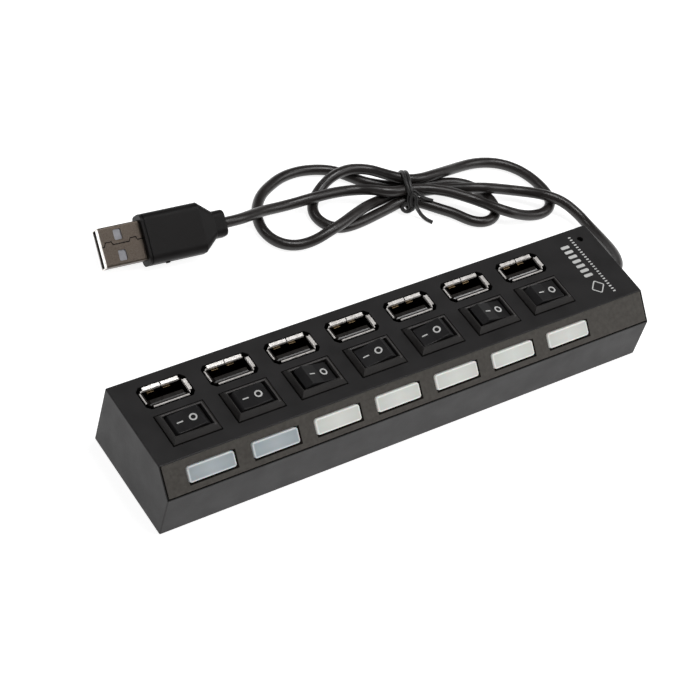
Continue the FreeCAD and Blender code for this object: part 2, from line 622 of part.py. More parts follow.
def cord_inner_lead():
    """The jacket's last stretch inside the case and its four wires down to the board."""
    y, z = CORD_EXIT[1:]
    pieces = [Part.makeCylinder(CORD_RADIUS, 6.5, Vector(CORD_EXIT[0] - 6.5, y, z), Vector(1, 0, 0))]
    for place in (-1.5, -0.5, 0.5, 1.5):
        start = Vector(CORD_EXIT[0] - 6.5, y + place * 0.55, z)
        end = Vector(72.0, y + place * 1.6, BOARD_TOP + 0.45)
        pieces.append(Part.makeCylinder(0.25, (end - start).Length, start, end - start))
    return Part.makeCompound(pieces)


def tie_block(half_width, across, z_range):
    """A box square to the bundle, centred where the tie holds it."""
    solid = block((-half_width, half_width), (-across / 2, across / 2), z_range)
    solid.Placement = Placement(Vector(*TIE_CENTRE, 0), Rotation(UP, TIE_YAW))
    return solid


def tie_ring():
    """The band that closes round the hank's waist and passes under it."""
    outside = tie_block(TIE_WIDTH / 2, WAIST_WIDTH + 2 * TIE_THICKNESS, (0.0, HANK_HEIGHT + TIE_THICKNESS))
    inside = tie_block(TIE_WIDTH, WAIST_WIDTH, (TIE_THICKNESS, HANK_HEIGHT))
    return outside.cut(inside)


def cord_tie():
    """The tie: its band, knot and two loose tails."""
    knot = Part.makeSphere(KNOT_RADIUS, Vector(*KNOT_PLACE))
    tails = [tube(route, TAIL_RADIUS, "tie tail") for route in TIE_TAILS]
    return join([tie_ring(), knot] + tails)


def cord_hank():
    """The outer shape of the folded, tied cord: two lobes and a narrow waist."""
    curve = Part.BSplineCurve()
    curve.interpolate([Vector(x, y, 0) for x, y in HANK_OUTLINE], PeriodicFlag=True)
    slab = Part.Face(Part.Wire(curve.toShape())).extrude(Vector(0, 0, HANK_HEIGHT))
    return slab.cut(tie_ring())


# --- plug -----------------------------------------------------------------------------------------

def place_on_plug(shape):
    """Turn a shape from the plug's own axes to where the plug lies."""
    tilt = Rotation(Vector(0, 1, 0), PLUG_PITCH) * Rotation(Vector(1, 0, 0), PLUG_ROLL)
    turn = Rotation(UP, PLUG_YAW) * tilt
    shape.Placement = Placement(Vector(*PLUG_TIP), turn)
    return shape


def rounded_section(x, size, corner):
    """A rounded rectangle square to the plug's axis."""
    half_w, half_t = size[0] / 2, size[1] / 2
    edges = []
    for turn, (sy, sz) in enumerate(((1, 1), (-1, 1), (-1, -1), (1, -1))):
        centre = Vector(x, sy * (half_w - corner), sz * (half_t - corner))
        spokes = [Vector(0, math.cos(a), math.sin(a)) * corner
                  for a in (turn * math.pi / 2 + step * math.pi / 4 for step in range(3))]
        edges.append([centre + spoke for spoke in spokes])
    wire = []
    for corner_points, following in zip(edges, edges[1:] + edges[:1]):
        wire.append(Part.Arc(*corner_points).toShape())
        wire.append(Part.LineSegment(corner_points[2], following[0]).toShape())
    return Part.Wire(wire)


def bar(x_range, size, corner):
    """A straight bar along the plug's axis with rounded long edges."""
    return Part.Face(rounded_section(x_range[0], size, corner)).extrude(Vector(x_range[1] - x_range[0], 0, 0))


SHELL_END = SHELL_VISIBLE + SHELL_HIDDEN
SHELL_INSIDE = (SHELL_SIZE[0] - 2 * SHELL_WALL, SHELL_SIZE[1] - 2 * SHELL_WALL)


def plug_shell():
    """The folded steel shell, with its four latch holes and its stepped seam on the upper side."""
    shell = bar((0.0, SHELL_END), SHELL_SIZE, 0.5).cut(bar((-1.0, SHELL_END + 1), SHELL_INSIDE, 0.25))
    holes = []
    for side in (-1, 1):
        x, y = SHELL_HOLE_PLACE[0], side * SHELL_HOLE_PLACE[1]
        holes.append(rounded_block(*SHELL_HOLE, (-4.0, 4.0), 0.5, (x, y)))
    top = SHELL_SIZE[1] / 2
    seam, half = [], SEAM_GROOVE / 2
    for (x1, y1), (x2, y2) in zip(SHELL_SEAM, SHELL_SEAM[1:]):
        run = math.hypot(x2 - x1, y2 - y1)
        piece = block((-half, run + half), (-half, half), (top - 0.15, top + 1))
        heading = math.degrees(math.atan2(y2 - y1, x2 - x1))
        piece.Placement = Placement(Vector(x1, y1, 0), Rotation(UP, heading))
        seam.append(piece)
    return place_on_plug(shell.cut(Part.makeCompound(holes)).cut(join(seam)))


def plug_insert():
    """The white moulding that holds the contacts: a tongue under the upper side and a block behind it."""
    width, thickness = SHELL_INSIDE[0] - 0.1, SHELL_INSIDE[1] - 0.1
    low = SHELL_INSIDE[1] / 2 - INSERT_THICKNESS
    whole = bar((INSERT_START, SHELL_END), (width, thickness), 0.3)
    mouth = block((0.0, PLUG_CONTACT_X[1]), (-width, width), (-thickness, low))
    slots = [block((PLUG_CONTACT_X[0], PLUG_CONTACT_X[1] + 2), (y - 0.5, y + 0.5), (low - 0.01, low + 0.2))
             for y in CONTACT_X]
    return place_on_plug(whole.cut(Part.makeCompound([mouth] + slots)))


def plug_contacts():
    """Four strips let into the lower face of the tongue."""
    low = SHELL_INSIDE[1] / 2 - INSERT_THICKNESS
    strips = [block((PLUG_CONTACT_X[0], PLUG_CONTACT_X[1] + 2), (y - 0.5, y + 0.5), (low, low + 0.2))
              for y in CONTACT_X]
    return place_on_plug(Part.makeCompound(strips))


def plug_grip():
    """The moulded grip: a body with a grooved front rim, a taper and a short neck."""
    body_end = SHELL_VISIBLE + GRIP_LENGTH
    neck_start, neck_end = body_end + NECK_TAPER, body_end + NECK_TAPER + NECK_LENGTH
    body = bar((SHELL_VISIBLE, body_end), GRIP_SIZE, GRIP_ROUND)
    taper = Part.makeLoft([rounded_section(body_end, GRIP_SIZE, GRIP_ROUND),
                           rounded_section(neck_start, NECK_SIZE, NECK_ROUND)], True, True)
    neck = bar((neck_start, neck_end), NECK_SIZE, NECK_ROUND)
    neck = neck.makeFillet(0.9, [e for e in neck.Edges if e.BoundBox.XMin > neck_end - 0.01])
    nub = Part.makeCylinder(0.7, 1.0, Vector(19.7, -GRIP_SIZE[0] / 2 + 0.6, 0), Vector(0, -1, 0))
    start, stop, depth = GRIP_GROOVE
    core = (GRIP_SIZE[0] - 2 * depth, GRIP_SIZE[1] - 2 * depth)
    groove = bar((start, stop), (GRIP_SIZE[0] + 2, GRIP_SIZE[1] + 2), 1.0).cut(
        bar((start, stop), core, GRIP_ROUND - depth))
    pocket = bar((SHELL_VISIBLE - 1, SHELL_END), SHELL_SIZE, 0.5)
    return place_on_plug(join([body, taper, neck, nub]).cut(Part.makeCompound([groove, pocket])))


export("upper_case", upper_case())
export("top_rails", top_rails())
export("top_bars", top_bars())
export("bevel_strip", bevel_strip())
export("base_plate", base_plate())
export("rubber_feet", rubber_feet())
export("case_screws", case_screws())
for column in range(COLUMNS):
    export("light_window_%d" % (column + 1), light_window(column))
    export("switch_housing_%d" % (column + 1), switch_housing(column))
    export("rocker_%d" % (column + 1), rocker(column))
    export("usb_shell_%d" % (column + 1), usb_shell(column))
    export("usb_tongue_%d" % (column + 1), usb_tongue(column))
export("switch_terminals", switch_terminals())
export("usb_contacts", usb_contacts())
export("circuit_board", circuit_board())
export("hub_chips", Part.makeCompound([chip(place, 10.0, 4.0, 14) for place in ((-38.6, 3.6), (22.9, 3.6))]))
export("indicator_leds", column_parts((3.2, 1.6), 1.1, (WINDOW_SHIFT, -12.6)))
export("port_fuses", column_parts((4.5, 3.2), 1.2, (0.0, -4.6)))
export("capacitors", capacitors())
export("power_led", power_led())
export("cord_bushing", cord_bushing())
export("cord_inner_lead", cord_inner_lead())
export("cord_lead", tube(LEAD_ROUTE, CORD_RADIUS, "hub lead"))
export("cord_hank", cord_hank())
export("cord_plug_lead", tube(PLUG_LEAD_ROUTE, CORD_RADIUS, "plug lead"))
export("cord_tie", cord_tie())
export("plug_shell", plug_shell())
export("plug_insert", plug_insert())
export("plug_contacts", plug_contacts())
export("plug_grip", plug_grip())
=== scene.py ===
import math

import bmesh
import bpy
from mathutils import Matrix, Vector


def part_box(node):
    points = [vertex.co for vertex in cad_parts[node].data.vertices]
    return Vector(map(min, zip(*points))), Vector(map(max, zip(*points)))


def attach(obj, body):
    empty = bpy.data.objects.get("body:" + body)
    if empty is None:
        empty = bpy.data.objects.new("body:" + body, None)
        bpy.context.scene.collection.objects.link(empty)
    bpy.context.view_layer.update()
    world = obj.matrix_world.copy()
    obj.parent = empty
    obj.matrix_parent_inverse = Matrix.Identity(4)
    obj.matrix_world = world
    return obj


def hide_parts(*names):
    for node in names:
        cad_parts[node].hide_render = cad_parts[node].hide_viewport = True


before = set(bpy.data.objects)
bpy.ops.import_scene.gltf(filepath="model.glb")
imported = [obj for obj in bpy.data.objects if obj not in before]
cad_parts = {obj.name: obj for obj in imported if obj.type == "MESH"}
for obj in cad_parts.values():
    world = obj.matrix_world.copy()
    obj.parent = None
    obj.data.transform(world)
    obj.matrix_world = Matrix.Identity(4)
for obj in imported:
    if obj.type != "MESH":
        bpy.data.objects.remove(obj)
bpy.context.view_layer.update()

MM = 0.001
COS_45 = math.sqrt(0.5)

# Places on the hub, in metres.
COLUMNS = range(1, 8)
FIRST_COLUMN = -0.0692
PITCH = 0.0205
SOCKET_SHIFT = -0.00015      # from a column's middle to its socket's
SWITCH_SHIFT = -0.0003
SWITCH_Y = -0.00133
ROCKER_AXIS_Z = 0.0195
BEVEL_FOOT = (-0.018, 0.015)     # Y and Z of the bevel's lower edge

# The plug's own axes in world axes, each with the plug's tip measured along it in metres.
PLUG_ALONG = ((0.9904, -0.1321, 0.0403), -0.06059)
PLUG_ACROSS = ((0.0892, 0.8342, 0.5442), 0.06188)
PLUG_OUT = ((-0.1055, -0.5354, 0.8380), -0.03004)
SEAM_ACROSS = (0.0, 0.002)       # middle and reach of the shell's seam
SEAM_OUT = (0.0021, 0.0001)      # and of its groove's floor, below the face at 2.25 mm


# --- camera ----------------------------------------------------------------------------------

camera_data = bpy.data.cameras.new("camera")
camera_data.sensor_width = 36
camera_data.lens = 115.9
camera_data.clip_start = 0.02
camera_data.clip_end = 20
camera = bpy.data.objects.new("camera", camera_data)
bpy.context.scene.collection.objects.link(camera)
camera_right = Vector((0.81669545, -0.53608755, 0.21358529))
camera_up = Vector((0.28919809, 0.70050885, 0.65241996))
camera_back = Vector((-0.49937261, -0.47105996, 0.72713789))
camera_turn = Matrix((camera_right, camera_up, camera_back)).transposed().to_4x4()
camera.matrix_world = Matrix.Translation((-0.32891, -0.29441, 0.48170)) @ camera_turn
bpy.context.scene.camera = camera


# --- materials -------------------------------------------------------------------------------

class Paint:
    """One node material, built up from the object's own coordinates."""

    def __init__(self, name):
        self.material = bpy.data.materials.new(name)
        self.material.use_nodes = True
        self.nodes = self.material.node_tree.nodes
        self.links = self.material.node_tree.links
        self.shader = self.nodes["Principled BSDF"]
        self.place = self.nodes.new("ShaderNodeTexCoord").outputs["Object"]

    def link(self, output, socket):
        self.links.new(output, socket)

    def values(self, **settings):
        for key, value in settings.items():
            self.shader.inputs[key.replace("_", " ")].default_value = value

    def noise(self, scale, detail, stretch=None):
        """Cloudy noise of that many cells to the metre."""
        node = self.nodes.new("ShaderNodeTexNoise")
        node.inputs["Scale"].default_value = scale
        node.inputs["Detail"].default_value = detail
        place = self.place
        if stretch:
            mapping = self.nodes.new("ShaderNodeMapping")
            mapping.inputs["Scale"].default_value = stretch
            self.link(place, mapping.inputs["Vector"])
            place = mapping.outputs["Vector"]
        self.link(place, node.inputs["Vector"])
        return node.outputs["Fac"]

    def ramp(self, output, stops):
        """A colour for each value, blended between the stops."""
        node = self.nodes.new("ShaderNodeValToRGB")
        elements = node.color_ramp.elements
        while len(elements) < len(stops):
            elements.new(0.5)
        for element, (position, colour) in zip(elements, stops):
            element.position = position
            element.color = (*colour, 1)
        self.link(output, node.inputs["Fac"])
        return node.outputs["Color"]

    def range(self, output, low, high, start=0.3, end=0.7):
        """From low to high as the value goes from start to end; noise mostly lies from 0.3 to 0.7."""
        node = self.nodes.new("ShaderNodeMapRange")
        node.inputs["From Min"].default_value = start
        node.inputs["From Max"].default_value = end
        node.inputs["To Min"].default_value = low
        node.inputs["To Max"].default_value = high
        self.link(output, node.inputs["Value"])
        return node.outputs["Result"]

    def math(self, operation, first, second=0.0, third=0.0):
        """One arithmetic step; each value is a number or another node's output."""
        node = self.nodes.new("ShaderNodeMath")
        node.operation = operation
        for socket, value in zip(node.inputs, (first, second, third)):
            if isinstance(value, (int, float)):
                socket.default_value = value
            else:
                self.link(value, socket)
        return node.outputs["Value"]

    def sum(self, *values):
        total = values[0]
        for value in values[1:]:
            total = self.math("ADD", total, value)
        return total

    def product(self, first, second):
        return self.math("MULTIPLY", first, second)

    def larger(self, first, second):
        return self.math("MAXIMUM", first, second)

    def rises(self, value, span):
        """Zero before the span and one after it."""
        return self.range(value, 0.0, 1.0, *span)

    def falls(self, value, span):
        """One before the span and zero after it."""
        return self.range(value, 1.0, 0.0, *span)

    def near(self, value, middle, reach):
        """One where the value is within that reach of the middle, and zero elsewhere."""
        return self.math("COMPARE", value, middle, reach)

    def axes(self):
        """The object's own X, Y and Z, in metres."""
        node = self.nodes.new("ShaderNodeSeparateXYZ")
        self.link(self.place, node.inputs["Vector"])
        return node.outputs["X"], node.outputs["Y"], node.outputs["Z"]

    def column(self, x, shift):
        """How far along X a place is from its own column, moved by that shift, in metres."""
        start = self.math("ADD", x, PITCH / 2 - FIRST_COLUMN - shift)
        return self.math("SUBTRACT", self.math("MODULO", start, PITCH), PITCH / 2)

    def off_line(self, y, z, line):
        """How far a place on the bevel is from a line that runs along it, that far up its slope."""
        rise = self.sum(self.math("SUBTRACT", y, BEVEL_FOOT[0]), self.math("SUBTRACT", z, BEVEL_FOOT[1]))
        return self.math("ABSOLUTE", self.math("SUBTRACT", self.product(rise, COS_45), line))

    def outside(self, along, across, half):
        """How far a place is outside a rectangle of that half length and half width; inside is negative."""
        return self.larger(self.math("SUBTRACT", along, half[0]), self.math("SUBTRACT", across, half[1]))

    def plug_axis(self, direction, origin):
        """The distance from the plug's tip along one of the plug's own axes, in metres."""
        along = self.sum(*(self.product(axis, part) for axis, part in zip(self.axes(), direction)))
        return self.math("SUBTRACT", along, origin)

    def plug_tip(self, span):
        """One near the plug's tip, falling to zero over a span of distances from it, in metres."""
        return self.falls(self.plug_axis(*PLUG_ALONG), span)

    def mix(self, factor, first, second):
        """From the first colour to the second as the factor goes from 0 to 1."""
        node = self.nodes.new("ShaderNodeMix")
        node.data_type = "RGBA"
        self.link(factor, node.inputs["Factor"])
        for socket, colour in ((node.inputs[6], first), (node.inputs[7], second)):
            if isinstance(colour, tuple):
                socket.default_value = (*colour, 1)
            else:
                self.link(colour, socket)
        return node.outputs[2]

    def bump(self, output, depth):
        """Relief of that many metres."""
        node = self.nodes.new("ShaderNodeBump")
        node.inputs["Strength"].default_value = 1.0
        node.inputs["Distance"].default_value = depth
        self.link(output, node.inputs["Height"])
        self.link(node.outputs["Normal"], self.shader.inputs["Normal"])


def moulded(name, dark, light, rough, grain=2600, relief=0.00002, specular=0.35, patch=140):
    """Moulded plastic: a fine grain, faint clouding and uneven gloss."""
    paint = Paint(name)
    cloud = paint.noise(patch, 4)
    paint.link(paint.ramp(cloud, [(0.3, dark), (0.7, light)]), paint.shader.inputs["Base Color"])
    paint.link(paint.range(cloud, rough - 0.05, rough + 0.06), paint.shader.inputs["Roughness"])
    paint.bump(paint.noise(grain, 5), relief)
    paint.values(Specular_IOR_Level=specular)
    return paint.material


def sheet_metal(name, dark, light, rough, stretch):
    """Plated sheet steel with faint drawing marks along one direction."""
    paint = Paint(name)
    lines = paint.noise(900, 4, stretch)
    cloud = paint.noise(260, 3)
    paint.link(paint.ramp(cloud, [(0.3, dark), (0.7, light)]), paint.shader.inputs["Base Color"])
    paint.link(paint.range(lines, rough - 0.06, rough + 0.1), paint.shader.inputs["Roughness"])
    paint.bump(lines, 0.000006)
    paint.values(Metallic=1.0)
    return paint.material


# Spans over which the parts of a socket start or end, in metres. Those along X are from the socket's middle.
LIP_HEIGHT = (0.0209, 0.0216)
FRONT_EDGE_Y = (0.00738, 0.00752)       # the front and left lips are bright only along these outer edges; inward of them is painted shade
LEFT_EDGE_X = (-0.00695, -0.00681)
BACK_LIP_Y = (0.01285, 0.01300)         # the back and right lips are bright up to a dark corner between them
BACK_LIP_END_X = (0.0057, 0.0059)
RIGHT_LIP_X = (0.0061, 0.0063)
RIGHT_LIP_END_Y = (0.0127, 0.0129)
FINGER_Y = (0.01295, 0.00014)           # middle and reach of the spring fingers
FINGER_Z = (0.0206, 0.0002)
TONGUE_EDGE_Y = (0.0087, 0.00036)       # and of the painted highlight on the tongue's front edge
TONGUE_EDGE_Z = (0.0210, 0.0005)


def socket_metal():
    """Tin-plated steel: bright along the lips, with painted shade inside, and yellowish spring fingers."""
    paint = Paint("socket_steel")
    x, y, z = paint.axes()
    lines = paint.noise(900, 4, (1, 1, 0.1))
    cloud = paint.noise(700, 3)
    plate = paint.ramp(cloud, [(0.3, (0.66, 0.63, 0.60)), (0.7, (0.92, 0.89, 0.86))])
    column = paint.column(x, SOCKET_SHIFT)
    front, left = paint.falls(y, FRONT_EDGE_Y), paint.falls(column, LEFT_EDGE_X)
    back = paint.product(paint.rises(y, BACK_LIP_Y), paint.falls(column, BACK_LIP_END_X))
    right = paint.product(paint.rises(column, RIGHT_LIP_X), paint.falls(y, RIGHT_LIP_END_Y))
    edges = paint.larger(paint.larger(front, left), paint.larger(back, right))
    lips = paint.product(paint.rises(z, LIP_HEIGHT), edges)
    # painted shade: all of the shell but its lips is near-black, for the shade deep in the socket
    shell = paint.mix(lips, (0.035, 0.03, 0.027), plate)
    finger = paint.product(paint.near(y, *FINGER_Y), paint.near(z, *FINGER_Z))
    paint.link(paint.mix(finger, shell, (0.34, 0.25, 0.14)), paint.shader.inputs["Base Color"])
    # the lips are made mostly non-metallic so their pale plate shows bright, standing in for the light their
    # rolled edges scatter
    paint.link(paint.range(lips, 1.0, 0.2), paint.shader.inputs["Metallic"])
    paint.link(paint.range(lines, 0.2, 0.36), paint.shader.inputs["Roughness"])
    paint.bump(lines, 0.000006)
    return paint.material


def plug_metal():
    """The plug's shell: dull speckled plating, with painted shade in its seam and a bright front edge that is
    partly the bare cut edge and partly a painted highlight.
    """
    paint = Paint("plug_steel")
    speckle = paint.noise(2600, 3)
    plate = paint.ramp(speckle, [(0.3, (0.076, 0.062, 0.051)), (0.7, (0.112, 0.093, 0.078))])
    # painted shade on the floor of the seam's groove
    painted_shade_band = paint.product(paint.near(paint.plug_axis(*PLUG_ACROSS), *SEAM_ACROSS),
                           paint.near(paint.plug_axis(*PLUG_OUT), *SEAM_OUT))
    seam_shaded = paint.mix(painted_shade_band, plate, (0.006, 0.005, 0.005))
    # the bright front edge: partly bare cut metal, partly a painted highlight
    tip = paint.plug_tip((0.00015, 0.00035))
    paint.link(paint.mix(tip, seam_shaded, (0.9, 0.87, 0.83)), paint.shader.inputs["Base Color"])
    paint.link(paint.range(speckle, 0.34, 0.46), paint.shader.inputs["Roughness"])
    paint.bump(speckle, 0.000006)
    paint.values(Metallic=1.0)
    return paint.material


def insert_plastic():
    """The plug's insert: greyish white plastic, with a painted glow on the front face of its tongue."""
    paint = Paint("insert_plastic")
    cloud = paint.noise(700, 4)
    body = paint.ramp(cloud, [(0.3, (0.27, 0.27, 0.30)), (0.7, (0.36, 0.36, 0.39))])
    # painted glow: near the tip the insert turns near-white and gives off light
    painted_glow_colour = (0.9, 0.9, 0.88)
    tip = paint.plug_tip((0.0003, 0.0005))
    paint.link(paint.mix(tip, body, painted_glow_colour), paint.shader.inputs["Base Color"])
    paint.link(paint.mix(tip, (0.0, 0.0, 0.0), painted_glow_colour), paint.shader.inputs["Emission Color"])
    paint.link(paint.range(cloud, 0.35, 0.46), paint.shader.inputs["Roughness"])
    paint.bump(paint.noise(2600, 4), 0.00001)
    paint.values(Emission_Strength=0.35)
    return paint.material


def tongue_plastic():
    """The socket's dark moulding, with a painted highlight along the front edge of the tongue."""
    paint = Paint("socket_plastic")
    x, y, z = paint.axes()
    cloud = paint.noise(900, 4)
    dark = paint.ramp(cloud, [(0.3, (0.008, 0.007, 0.006)), (0.7, (0.016, 0.013, 0.011))])
    edge = paint.product(paint.near(y, *TONGUE_EDGE_Y), paint.near(z, *TONGUE_EDGE_Z))
    along = paint.range(x, 0.14, 0.62, -0.07, 0.055)     # the painted highlight is lighter towards the cord end
    light = paint.nodes.new("ShaderNodeCombineColor")
    for socket in light.inputs[:3]:
        paint.link(along, socket)
    # painted highlight along the tongue's front edge
    paint.link(paint.mix(edge, dark, light.outputs["Color"]), paint.shader.inputs["Base Color"])
    paint.link(paint.range(cloud, 0.35, 0.5), paint.shader.inputs["Roughness"])
    paint.bump(paint.noise(2600, 4), 0.00001)
    paint.values(Specular_IOR_Level=0.3)
    return paint.material


WINDOW_HALF = (0.00735, 0.002225)       # along the row and up the bevel
WINDOW_LINE = 0.005                     # the windows' middle line, up the bevel
PAINTED_SHADOW_HALF = (0.0077, 0.00262)         # the painted shadow lies a little right of the window and below it
PAINTED_SHADOW_SHIFT = 0.0005
PAINTED_SHADOW_LINE = 0.00472
ALL_COLUMNS = (-0.0077, 0.070)          # middle and reach of the seven columns


def strip_plastic():
    """The bevel's strip, with a painted shadow at the right and lower side of each window."""
    paint = Paint("strip_plastic")
    x, y, z = paint.axes()
    cloud = paint.noise(900, 4)
    surface = paint.ramp(cloud, [(0.3, (0.045, 0.040, 0.034)), (0.7, (0.066, 0.060, 0.052))])
    along = paint.math("ABSOLUTE", paint.column(x, PAINTED_SHADOW_SHIFT))
    outside = paint.outside(along, paint.off_line(y, z, PAINTED_SHADOW_LINE), PAINTED_SHADOW_HALF)
    painted_shade_band = paint.product(paint.falls(outside, (-0.00005, 0.00012)), paint.near(x, *ALL_COLUMNS))
    # painted shadow: a dark band with no gloss at the right and lower side of each window
    paint.link(paint.mix(painted_shade_band, surface, (0.009, 0.008, 0.007)), paint.shader.inputs["Base Color"])
    paint.link(paint.range(cloud, 0.45, 0.56), paint.shader.inputs["Roughness"])
    paint.link(paint.range(painted_shade_band, 0.35, 0.0, 0.0, 1.0), paint.shader.inputs["Specular IOR Level"])
    paint.bump(paint.noise(3400, 5), 0.00003)
    return paint.material


# Spans over which the painted highlights on a switch's frame start, in metres; X is from the switch's middle.
RIDGE_X = (0.0058, 0.0060)
RIDGE_Y = (0.0022, 0.0024)
RIDGE_Z = (0.0233, 0.0236)
MOUTH_WALL_X = (0.0060, 0.0001)         # middle and reach of the mouth's right wall
MOUTH_HALF_Y = 0.0037


def switch_frame():
    """The switches' frames: fine-grained plastic, with painted highlights along the back and right of the
    ridge and on the mouth's right wall.
    """
    paint = Paint("switch_plastic")
    x, y, z = paint.axes()
    cloud = paint.noise(140, 4)
    surface = paint.ramp(cloud, [(0.3, (0.015, 0.0134, 0.0129)), (0.7, (0.0225, 0.0204, 0.0195))])
    column = paint.column(x, SWITCH_SHIFT)
    back_or_right = paint.larger(paint.rises(column, RIDGE_X), paint.rises(y, RIDGE_Y))
    ridge_highlight = paint.product(back_or_right, paint.rises(z, RIDGE_Z))
    mouth_wall_highlight = paint.product(paint.near(column, *MOUTH_WALL_X), paint.near(y, SWITCH_Y, MOUTH_HALF_Y))
    # painted highlights on the ridge and on the mouth's right wall
    colour = paint.mix(paint.larger(ridge_highlight, mouth_wall_highlight), surface, (0.062, 0.058, 0.057))
    paint.link(colour, paint.shader.inputs["Base Color"])
    paint.link(paint.range(cloud, 0.35, 0.46), paint.shader.inputs["Roughness"])
    paint.bump(paint.noise(3200, 5), 0.00002)
    paint.values(Specular_IOR_Level=0.35)
    return paint.material


def window(name, column, edge, middle, rim, glow):
    """A light window: clouded plastic, brighter round its rim and over the lamp behind its middle, with
    painted shade on its flange.
    """
    paint = Paint(name)
    low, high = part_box("light_window_%d" % column)
    x, y, z = paint.axes()
    along = paint.math("ABSOLUTE", paint.math("SUBTRACT", x, (low[0] + high[0]) / 2))
    across = paint.off_line(y, z, WINDOW_LINE)
    outside = paint.outside(along, across, WINDOW_HALF)
    lit_rim = paint.rises(outside, (-0.0006, -0.0002))
    spot = paint.sum(paint.product(along, 110.0), paint.product(across, 160.0))
    tint = paint.ramp(spot, [(0.0, middle), (0.9, edge)])
    # painted shade: the flange round the lens, seen in the gap in the strip, is near-black
    shaded_flange = paint.rises(outside, (0.00004, 0.0001))
    colour = paint.mix(shaded_flange, paint.mix(lit_rim, tint, rim), (0.01, 0.009, 0.008))
    paint.link(colour, paint.shader.inputs["Base Color"])
    paint.link(colour, paint.shader.inputs["Emission Color"])
    cloud = paint.noise(700, 3)
    paint.link(paint.range(cloud, 0.3, 0.42), paint.shader.inputs["Roughness"])
    paint.bump(cloud, 0.00002)
    # the glow is the lamp behind a lit window; on the windows that are off it is a painted glow
    paint.values(Emission_Strength=glow, Subsurface_Weight=0.2, Subsurface_Scale=0.001)
    return paint.material


def give(material, *names):
    """Paint CAD nodes with a material."""
    for name in names:
        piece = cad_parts[name]
        piece.data.materials.clear()
        piece.data.materials.append(material)


case_top = moulded("case_plastic", (0.0104, 0.0096, 0.0098), (0.0148, 0.0136, 0.0140), 0.5, specular=0.32)
give(case_top, "upper_case", "top_rails", "top_bars", "base_plate")
give(strip_plastic(), "bevel_strip")
give(moulded("foot_rubber", (0.018, 0.018, 0.018), (0.03, 0.03, 0.03), 0.75), "rubber_feet")
give(sheet_metal("screw_steel", (0.2, 0.2, 0.2), (0.32, 0.31, 0.3), 0.4, (1, 1, 1)), "case_screws")

# the edge, middle and rim colours of a window and its glow: the first two are off, the others are lit; the
# faint glow of the windows that are off is painted light
DULL_WINDOW = ((0.30, 0.34, 0.36), (0.38, 0.42, 0.44), (0.62, 0.65, 0.66), 0.12)
BRIGHT_WINDOW = ((0.49, 0.50, 0.47), (0.56, 0.57, 0.54), (0.70, 0.71, 0.68), 0.25)
DULL_WINDOWS = (1, 2)

switch_plastic = switch_frame()
rocker_plastic = moulded("rocker_plastic", (0.0085, 0.0081, 0.0086), (0.0130, 0.0125, 0.0132), 0.4,
                         grain=3200, relief=0.000012, specular=0.22)
socket_steel = socket_metal()
socket_plastic = tongue_plastic()
brass = sheet_metal("contact_brass", (0.75, 0.55, 0.22), (0.9, 0.68, 0.3), 0.28, (1, 1, 0.1))
for column in COLUMNS:
    give(switch_plastic, "switch_housing_%d" % column)
    give(rocker_plastic, "rocker_%d" % column)
    give(socket_steel, "usb_shell_%d" % column)
    give(socket_plastic, "usb_tongue_%d" % column)
    tints = DULL_WINDOW if column in DULL_WINDOWS else BRIGHT_WINDOW
    give(window("window_%d" % column, column, *tints), "light_window_%d" % column)
give(brass, "usb_contacts", "plug_contacts", "switch_terminals")
give(moulded("board_laminate", (0.01, 0.045, 0.02), (0.015, 0.065, 0.03), 0.45, grain=1800), "circuit_board")
give(moulded("chip_plastic", (0.015, 0.015, 0.016), (0.025, 0.025, 0.026), 0.55), "hub_chips")
give(moulded("led_plastic", (0.55, 0.55, 0.5), (0.7, 0.7, 0.65), 0.3), "indicator_leds")
give(moulded("smoked_lens", (0.006, 0.006, 0.006), (0.012, 0.011, 0.011), 0.3), "power_led")
give(sheet_metal("can_aluminium", (0.6, 0.6, 0.6), (0.75, 0.75, 0.74), 0.35, (1, 1, 1)), "capacitors")
give(moulded("fuse_plastic", (0.02, 0.05, 0.02), (0.03, 0.07, 0.03), 0.5), "port_fuses")
give(plug_metal(), "plug_shell")
give(insert_plastic(), "plug_insert")
grip_plastic = moulded("grip_plastic", (0.0062, 0.0054, 0.0054), (0.0096, 0.0085, 0.0085), 0.5, grain=3000,
                       specular=0.16)
give(grip_plastic, "plug_grip")
cord_rubber = moulded("cord_rubber", (0.0125, 0.0102, 0.0096), (0.0205, 0.0168, 0.0158), 0.33, grain=1500,
                      relief=0.00001, specular=0.5, patch=220)
give(cord_rubber, "cord_bushing", "cord_inner_lead")


# --- cord ------------------------------------------------------------------------------------

